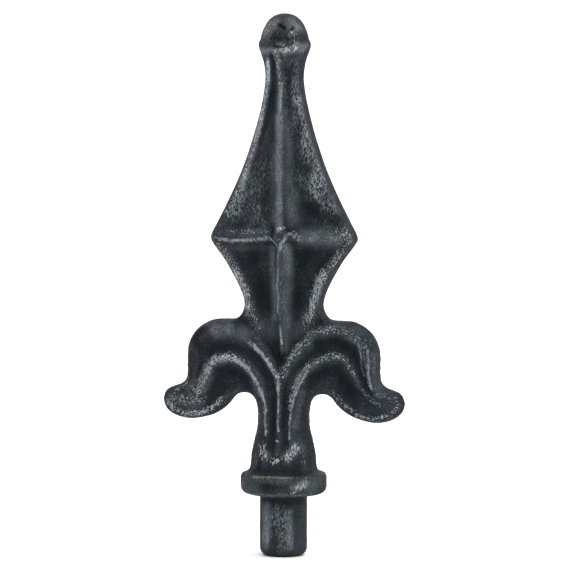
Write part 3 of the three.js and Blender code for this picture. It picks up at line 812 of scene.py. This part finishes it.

# Bright lines of the front, as share, half-width and line: worn silver and painted highlights along the
# crests and creases
CREST_LINES_AND_HIGHLIGHTS = [
    (0.6, 0.36, [(0.1, 156), (0, 149)]),
    (0.7, 0.5, [(-20.2, 106), (-17.4, 105.6), (-13.6, 105.9), (-10.4, 105.8), (-7.2, 106.4), (-5.2, 106.3)]),
    (0.75, 0.46, [(2.9, 108.3), (1.9, 107), (1.3, 105.8), (0.3, 104.8), (0, 103)]),
    (0.6, 0.36, [(-5.2, 107.2), (-3.4, 106.6), (-1.8, 105.2), (-0.4, 103.4)]),
    (0.66, 0.36, [(-0.5, 103), (-1, 99), (-0.8, 95.4), (-1.25, 91), (-0.9, 87), (-1.1, 82)]),
    (0.9, 0.3, [(-0.3, 77.5), (0.2, 71.5)]),
    (0.6, 0.6, [(-8.6, 70), (-4.3, 65.6), (-0.7, 60.1)]),
    (0.9, 0.34, [(-6.4, 56), (-5.4, 52.3), (-4.7, 49.2), (-5.3, 46.4), (-4.9, 43.6), (-4.7, 41)]),
    (0.9, 0.34, [(-0.6, 61), (-0.4, 52.3), (-0.35, 48.2), (-0.6, 45), (-0.1, 42.5)]),
    (1, 0.3, [(-0.9, 39.2), (-0.2, 39.1)]),
    (0.9, 0.36, [(9.2, 62.5), (6.4, 58), (4.8, 53.6), (3.7, 48.3), (3.3, 44.6), (3.5, 40)]),
    (0.6, 0.36, [(29.4, 69.9), (29.8, 66), (29.6, 62), (30.5, 57.2)]),
    (0.6, 0.34, [(26.3, 71.9), (27, 67.5), (27, 64), (28, 61)]),
    (0.55, 0.3, [(-8, 27.4), (-4.2, 27.6)]),
    (0.5, 0.3, [(-2.6, 27.7), (5.6, 27.6)]),
]


def rubbed(strokes, x, y, z):
    """The strongest stroke at each point. The back has the strokes mirrored, and fainter."""
    share = np.zeros(x.shape)
    stroke_x = np.where(y < 0, x, -x)
    for strength, half, line in strokes:
        away = distance_to_line(stroke_x, z, line)
        share = np.maximum(share, strength * np.exp(-0.7 * (away / half) ** 2.4))
    return share * np.where(y < 0, 1, BACK_SHARE)


def store(name, values):
    attribute = mesh.attributes.new(name, "FLOAT", "POINT")
    attribute.data.foreach_set("value", values.astype(np.float32))


def wear_sheen_and_shade_shares(x, y, z, facing):
    """How much brushed silver, grey rubbed paint with painted sheen, and black each point of the surface has;
    the black is untouched paint and painted shade. The brush hardly reached what looks sideways, and black is
    added there as painted shade along the outline: facing is 0 there, and 1 where a point looks to the front
    or back."""
    radius = np.hypot(x, y)
    on_body = (z > 29) & (z < 166)
    proud = np.where(on_body, on_map(standing, x, z), 0)
    at_collar = (z > 20) & (z < 29)
    turned = np.where(at_collar, 0.15, 0) + np.where(z < 17.5, 0.17, 0) + np.where(z > 166, 0.24, 0)
    turned = turned * (0.45 + 0.55 * facing)
    rim_height = np.minimum(np.abs(z - COLLAR_TOP + 0.5), np.abs(z - SPIGOT_LENGTH - 0.5))
    rim_gap = np.hypot(radius - COLLAR_RADIUS + 0.5, rim_height)
    rim = np.where(at_collar, 0.36 * np.exp(-(rim_gap / 0.7) ** 2), 0)
    crest = np.clip(proud * 1.2, 0, 0.46)
    general = np.maximum.reduce([crest, rim, turned]) * (0.8 + 0.5 * noise(x, y, z, 13.0))
    # Sideways faces get black as painted shade along the outline
    black = np.maximum(rubbed(BLACK_AND_SHADE, x, y, z), 0.5 * (1 - facing))
    front = 0.3 * crest + 0.5 * rim + 0.3 * turned
    brushed = 0.45 + 0.55 * facing
    silver = np.maximum(rubbed(SILVER, x, y, z) * brushed, np.where(y < 0, front, general))
    # The polish share also holds painted sheen and highlights
    polish_and_sheen = np.maximum(rubbed(POLISH_AND_SHEEN, x, y, z) * brushed, np.clip(0.08 + 0.4 * proud, 0.02, 0.4))
    polish_and_sheen = np.maximum(polish_and_sheen, turned * 1.6)
    return silver * (1 - black), polish_and_sheen * (1 - 0.85 * black), black


normals = np.empty(3 * len(points), np.float32)
mesh.vertex_normals.foreach_get("vector", normals)
facing = np.clip((np.abs(normals.reshape(-1, 3)[:, 1]) - 0.2) / 0.35, 0, 1)
for name, shares in zip(("silver", "polish_and_sheen", "black"), wear_sheen_and_shade_shares(*points.T, facing)):
    store(name, shares)
store("scratched", rubbed(SCRATCHES, *points.T) * facing)
store("stained", rubbed(STAINS, *points.T) * facing)

# How far along the outline, or along the crests of the arm, each point lies, and how far from it. The
# brushing follows these lines. The crests count on from a number that the outline doesn't reach.
CREST_START = 500
CREST_HALF = 2.4
across_blade, height = np.abs(points[:, 0]), points[:, 2]
along = place_along_line(across_blade, height, outline[::2])
away = distance_to_line(across_blade, height, outline[::2])
arm_rows = through(ARM, 4)
for crest_line in (arm_rows[24:, 2:4], arm_rows[:, 4:6]):
    crest_gap = distance_to_line(across_blade, height, crest_line)
    on_crest = (crest_gap < CREST_HALF) & (crest_gap < away) & (height > 29)
    along = np.where(on_crest, CREST_START + place_along_line(across_blade, height, crest_line), along)
    away = np.where(on_crest, crest_gap, away)
store("along", along)
store("away", away * np.where(points[:, 1] < 0, 1, -1))

# On the foot, the neck and the ball the brushing runs upright instead
store("turned", np.clip((41 - height) / 3, 0, 1) + np.clip((height - 162) / 4, 0, 1))


# Finish

# Its colours, as linear red, green and blue: black paint and painted shade, grey polish and painted sheen,
# brushed silver and the pits
PAINT_BLUE = (0.0042, 0.0057, 0.0067)
PAINT_VIOLET = (0.0049, 0.0056, 0.007)
PAINT_GREEN = (0.0043, 0.0074, 0.0063)
BLACK_PAINT_AND_SHADE = (0.0012, 0.0018, 0.0022)
GREY_BLUE = (0.049, 0.06, 0.066)
GREY_VIOLET = (0.055, 0.057, 0.072)
GREY_GREEN = (0.042, 0.064, 0.064)
GREY_STAINED = (0.075, 0.074, 0.05)
GREY_PALE_HIGHLIGHT = (0.135, 0.15, 0.158)
SILVER_BLUE = (0.29, 0.34, 0.35)
SILVER_PALE = (0.38, 0.4, 0.42)
SILVER_GREEN = (0.26, 0.34, 0.325)
SILVER_VIOLET = (0.35, 0.35, 0.368)
SILVER_STAINED = (0.36, 0.35, 0.24)
PIT_BLACK = (0.0009, 0.0013, 0.0015)
GLOSS = 0.12
GLOSS_TINT = (0.84, 1.0, 1.14, 1)
BUMP_DEPTH = 0.14


def casting_material():
    """Black satin paint over cast iron, with grey rubbed patches and painted sheen, and silver brushed over
    what stands out.
    """
    material = bpy.data.materials.new("worn_black_iron_with_painted_light")
    material.use_nodes = True
    nodes, links = material.node_tree.nodes, material.node_tree.links
    shader = nodes["Principled BSDF"]

    def plug(socket, value):
        if isinstance(value, bpy.types.NodeSocket):
            links.new(value, socket)
        else:
            socket.default_value = value

    def maths(operation, *values):
        node = nodes.new("ShaderNodeMath")
        node.operation = operation
        for socket, value in zip(node.inputs, values):
            plug(socket, value)
        return node.outputs[0]

    def times(a, b):
        return maths("MULTIPLY", a, b)

    def plus(a, b):
        return maths("ADD", a, b)

    def minus(a, b):
        return maths("SUBTRACT", a, b)

    def larger(a, b):
        return maths("MAXIMUM", a, b)

    def vectors(operation, *values):
        node = nodes.new("ShaderNodeVectorMath")
        node.operation = operation
        for socket, value in zip(node.inputs, values):
            plug(socket, value)
        return node.outputs["Value" if operation in ("DOT_PRODUCT", "DISTANCE") else "Vector"]

    def ranged(value, from_low, from_high, to_low=0.0, to_high=1.0):
        node = nodes.new("ShaderNodeMapRange")
        node.interpolation_type = "SMOOTHSTEP"
        for name, number in (("Value", value), ("From Min", from_low), ("From Max", from_high),
                             ("To Min", to_low), ("To Max", to_high)):
            plug(node.inputs[name], number)
        return node.outputs[0]

    def blend(share, from_colour, to_colour):
        node = nodes.new("ShaderNodeMix")
        node.data_type = "RGBA"
        plug(node.inputs["Factor"], share)
        for name, colour in (("A", from_colour), ("B", to_colour)):
            socket = next(i for i in node.inputs if i.name == name and i.type == "RGBA")
            plug(socket, colour if isinstance(colour, bpy.types.NodeSocket) else (*colour, 1))
        return next(o for o in node.outputs if o.type == "RGBA")

    def stored(name):
        node = nodes.new("ShaderNodeAttribute")
        node.attribute_name = name
        return node.outputs["Fac"]

    place = nodes.new("ShaderNodeTexCoord").outputs["Object"]

    def lumps(vector, detail, rough):
        node = nodes.new("ShaderNodeTexNoise")
        for name, number in (("Scale", 1.0), ("Detail", detail), ("Roughness", rough)):
            plug(node.inputs[name], number)
        links.new(vector, node.inputs["Vector"])
        return node.outputs[0]

    def brushing(length, width):
        """Noise drawn out along the spike's outline, as a brush or a cloth that follows it leaves."""
        vector = nodes.new("ShaderNodeCombineXYZ")
        plug(vector.inputs[0], maths("DIVIDE", stored("along"), length))
        plug(vector.inputs[1], maths("DIVIDE", stored("away"), width))
        return lumps(vector.outputs[0], 1.0, 0.6)

    def grain(size, detail=2.0, rough=0.5, stretch=(1, 1, 1), tilt=0.0):
        """Noise with lumps of this size in millimetres, drawn out and tilted in the plane of the front."""
        mapping = nodes.new("ShaderNodeMapping")
        mapping.vector_type = "TEXTURE"
        mapping.inputs["Rotation"].default_value = (0, math.radians(tilt), 0)
        mapping.inputs["Scale"].default_value = [size * MM * k for k in stretch]
        links.new(place, mapping.inputs["Vector"])
        return lumps(mapping.outputs[0], detail, rough)

    silver_share, polish_and_sheen_share, black_and_shade_share = stored("silver"), stored("polish_and_sheen"), stored("black")
    speckle = grain(0.46, 2.0, 0.6)
    streak = grain(0.44, 1.5, 0.6, (1, 1, 4.5))
    scratches = [grain(0.32, 0.5, 0.5, (1, 1, 5), tilt) for tilt in (8, 34, -26)]
    patch = grain(2.6, 3.0, 0.6)
    drift = grain(9.0, 2.0, 0.5)
    cloud = grain(4.6, 3.0, 0.55, (1, 1, 1.8))

    # Crisp marks and lines of the front. Each chain starts from a number of about nought or less, which shows
    # nothing by itself.
    flat = vectors("MULTIPLY", place, (1 / MM, 0, 1 / MM))
    nearly_nothing = (1e-6, 1e-6, 1e-6)

    def line_gap(line, before):
        """The distance in millimetres from a line given by points in x and z. Each piece takes in a nearly
        weightless share of the result before it, so that they are worked out one after another."""
        smallest = None
        for (ax, az), (bx, bz) in zip(line[:-1], line[1:]):
            start, step = Vector((ax, 0, az)), Vector((bx - ax, 0, bz - az))
            here = vectors("MULTIPLY_ADD", before, nearly_nothing, flat)
            share = vectors("DOT_PRODUCT", here, step / step.length_squared)
            inside = minus(share, start.dot(step) / step.length_squared)
            inside.node.use_clamp = True
            nearest = vectors("MULTIPLY_ADD", step, inside, start)
            gap = vectors("DISTANCE", here, nearest)
            smallest = gap if smallest is None else maths("MINIMUM", smallest, gap)
            before = smallest
        return smallest

    split = nodes.new("ShaderNodeSeparateXYZ")
    links.new(place, split.inputs[0])
    on_front = ranged(split.outputs[1], -1.8 * MM, -3.4 * MM)
    wobble = ranged(speckle, 0.3, 0.7, -0.24, 0.24)
    marks = minus(on_front, 1.0)
    for share, half, line in MARKS:
        gap = plus(line_gap(line, marks), wobble)
        marks = larger(marks, ranged(gap, 1.5 * half, 0.4 * half, 0.0, share))
    lines_and_highlights = times(marks, 0.0001)
    for share, half, line in CREST_LINES_AND_HIGHLIGHTS:
        gap = plus(line_gap(line, lines_and_highlights), wobble)
        lines_and_highlights = larger(lines_and_highlights, ranged(gap, 1.3 * half, 0.4 * half, 0.0, share))
    marks = times(marks, on_front)
    lines_and_highlights = times(times(lines_and_highlights, on_front), ranged(patch, 0.34, 0.56, 0.35, 1.0))
    lines_and_highlights = times(lines_and_highlights, ranged(streak, 0.36, 0.6, 0.5, 1.0))

    # Silver: where the grain stands above what is left of the black
    along_brush = times(brushing(1.05, 0.34), 0.56)
    along_brush = plus(along_brush, times(speckle, 0.44))
    mixed = nodes.new("ShaderNodeMix")
    plug(mixed.inputs[0], stored("turned"))
    plug(mixed.inputs[2], along_brush)
    plug(mixed.inputs[3], streak)
    fine = ranged(mixed.outputs[0], 0.34, 0.66)
    density = plus(silver_share, times(minus(patch, 0.5), 0.6))
    silver_mask = ranged(plus(fine, density), 0.9, 1.42)
    silver_mask = times(silver_mask, ranged(silver_share, 0.02, 0.25))
    scratch = ranged(larger(larger(*scratches[:2]), scratches[2]), 0.575, 0.68)
    scratched = times(stored("scratched"), minus(1.0, black_and_shade_share))
    scratch = times(scratch, times(scratched, ranged(cloud, 0.36, 0.6, 0.15, 1.0)))
    # The crest lines are worn silver and painted highlights
    silver_mask = larger(larger(silver_mask, scratch), lines_and_highlights)
    silver_mask = times(silver_mask, minus(1.0, marks))

    # Grey polish and painted sheen: soft, with faint brushing
    soft = times(polish_and_sheen_share, ranged(cloud, 0.25, 0.75, 0.7, 1.25))
    soft = times(soft, ranged(streak, 0.25, 0.75, 0.8, 1.2))
    soft = times(soft, ranged(speckle, 0.3, 0.64, 0.72, 1.2))
    flecks = ranged(times(speckle, ranged(cloud, 0.3, 0.7, 0.85, 1.15)), 0.5, 0.72, 0.0, 0.4)
    flecks = times(flecks, minus(1.0, times(black_and_shade_share, 0.45)))
    soft = plus(soft, flecks)

    paint = blend(ranged(drift, 0.4, 0.6), PAINT_BLUE, PAINT_VIOLET)
    paint = blend(ranged(patch, 0.58, 0.72), paint, PAINT_GREEN)
    # Untouched black paint, and painted shade where the black share holds it
    paint = blend(times(black_and_shade_share, 0.85), paint, BLACK_PAINT_AND_SHADE)
    grey = blend(ranged(drift, 0.42, 0.58), GREY_BLUE, GREY_VIOLET)
    grey = blend(ranged(patch, 0.56, 0.7), grey, GREY_GREEN)
    grey = blend(stored("stained"), grey, GREY_STAINED)
    body = blend(soft, paint, grey)
    # Polish above 1 turns a pale grey: a painted highlight
    body = blend(minus(soft, 1.0), body, GREY_PALE_HIGHLIGHT)
    body = blend(marks, body, PIT_BLACK)
    bright = blend(ranged(patch, 0.38, 0.62), SILVER_BLUE, SILVER_PALE)
    bright = blend(ranged(cloud, 0.54, 0.7), bright, SILVER_GREEN)
    bright = blend(ranged(drift, 0.54, 0.68), bright, SILVER_VIOLET)
    bright = blend(stored("stained"), bright, SILVER_STAINED)
    colour = blend(times(silver_mask, 0.92), body, bright)
    plug(shader.inputs["Base Color"], colour)

    roughness = minus(ranged(patch, 0.3, 0.7, 0.6, 0.76), times(silver_mask, 0.16))
    roughness = minus(roughness, times(polish_and_sheen_share, 0.1))
    plug(shader.inputs["Roughness"], roughness)
    plug(shader.inputs["Metallic"], times(silver_mask, 0.25))
    shader.inputs["Specular IOR Level"].default_value = GLOSS
    shader.inputs["Specular Tint"].default_value = GLOSS_TINT

    height = plus(times(silver_mask, 0.35), times(speckle, 0.5))
    height = minus(height, times(marks, 1.5))
    height = plus(height, times(grain(1.3, 3.0, 0.6), 1.1))
    bump = nodes.new("ShaderNodeBump")
    bump.inputs["Strength"].default_value = 0.5
    bump.inputs["Distance"].default_value = BUMP_DEPTH * MM
    links.new(height, bump.inputs["Height"])
    links.new(bump.outputs[0], shader.inputs["Normal"])
    return material


mesh.materials.append(casting_material())
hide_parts("spike")
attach(spike, "root")


# Floor, light and camera

def make_floor():
    bpy.ops.mesh.primitive_plane_add(size=30)
    floor = bpy.context.object
    floor.name = "floor"
    material = bpy.data.materials.new("pale_floor")
    material.use_nodes = True
    shader = material.node_tree.nodes["Principled BSDF"]
    shader.inputs["Base Color"].default_value = (0.94, 0.94, 0.94, 1)
    shader.inputs["Roughness"].default_value = 0.95
    shader.inputs["Specular IOR Level"].default_value = 0.0
    floor.data.materials.append(material)


def make_light(name, place, size, power):
    data = bpy.data.lights.new(name, "AREA")
    data.size = size
    data.energy = power
    light = bpy.data.objects.new(name, data)
    light.location = Vector(place)
    target = Vector((0, 0, AIM_HEIGHT * MM))
    light.rotation_euler = (target - light.location).to_track_quat("-Z", "Y").to_euler()
    bpy.context.scene.collection.objects.link(light)


def make_world():
    """A white studio, bright above and dim low down and behind the camera, so that black stays black."""
    world = bpy.data.worlds.new("studio")
    world.use_nodes = True
    nodes, links = world.node_tree.nodes, world.node_tree.links
    way = nodes.new("ShaderNodeTexCoord")
    lean = nodes.new("ShaderNodeVectorMath")
    lean.operation = "DOT_PRODUCT"
    lean.inputs[1].default_value = (0.3, 0.35, 1.0)
    links.new(way.outputs["Generated"], lean.inputs[0])
    ramp = nodes.new("ShaderNodeMapRange")
    ramp.interpolation_type = "SMOOTHSTEP"
    limits = {"From Min": -0.1, "From Max": 0.75, "To Min": LOW_LIGHT, "To Max": STUDIO_LIGHT}
    for name, number in limits.items():
        ramp.inputs[name].default_value = number
    links.new(lean.outputs["Value"], ramp.inputs["Value"])
    links.new(ramp.outputs["Result"], nodes["Background"].inputs["Strength"])
    nodes["Background"].inputs["Color"].default_value = (1, 1, 1, 1)
    bpy.context.scene.world = world
    bpy.context.scene.view_settings.view_transform = "Standard"


def make_camera():
    azimuth = math.radians(VIEW_AZIMUTH)
    elevation = math.radians(VIEW_ELEVATION)
    data = bpy.data.cameras.new("camera")
    data.sensor_width = 36
    data.sensor_fit = "HORIZONTAL"
    data.lens = 36 * VIEW_DISTANCE / FRAME_HEIGHT
    data.clip_end = 100
    camera = bpy.data.objects.new("camera", data)
    back = Vector((
        math.sin(azimuth) * math.cos(elevation),
        -math.cos(azimuth) * math.cos(elevation),
        math.sin(elevation),
    ))
    target = Vector((AIM_ACROSS, 0, AIM_HEIGHT)) * MM
    camera.location = target + back * VIEW_DISTANCE * MM
    roll = Quaternion((0, 0, 1), math.radians(VIEW_ROLL))
    camera.rotation_euler = ((-back).to_track_quat("-Z", "Y") @ roll).to_euler()
    bpy.context.scene.collection.objects.link(camera)
    bpy.context.scene.camera = camera


make_floor()
make_world()
make_light("key", KEY_PLACE, KEY_SIZE, KEY_POWER)
make_camera()
